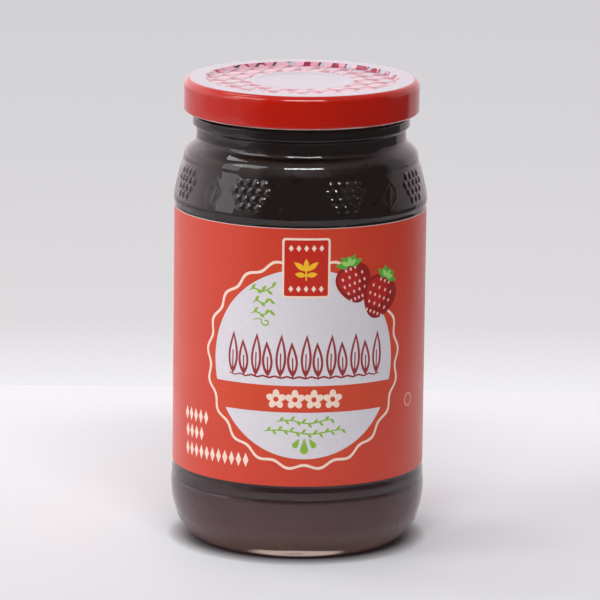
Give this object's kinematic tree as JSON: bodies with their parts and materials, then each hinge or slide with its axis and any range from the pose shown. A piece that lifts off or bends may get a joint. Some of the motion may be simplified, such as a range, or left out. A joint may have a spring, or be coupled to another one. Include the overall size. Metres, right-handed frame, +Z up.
{
  "type": "jam jar",
  "caption": "Round clear glass jar of dark jelly with a rounded shoulder, a recessed panel with a wrap-round paper label, and a twist-off metal lid.",
  "frame": {"origin": "middle of the base, on the surface that the jar stands on", "axes": "+Z up along the jar's axis; the middle of the label's front faces -Y, and its overlap seam is at the back, +Y"},
  "size_m": [0.072, 0.072, 0.1323],
  "materials": {
    "glass": "clear, smooth",
    "jelly": "dark red-brown jelly, glossy where it meets the glass",
    "label_paper": "coated red paper",
    "lid_enamel": "glossy red enamel with a white top"
  },
  "bodies": {
    "root": {"glass_jar": "glass", "jelly": "jelly", "label": "label_paper", "lid": "lid_enamel"}
  },
  "joints": []
}
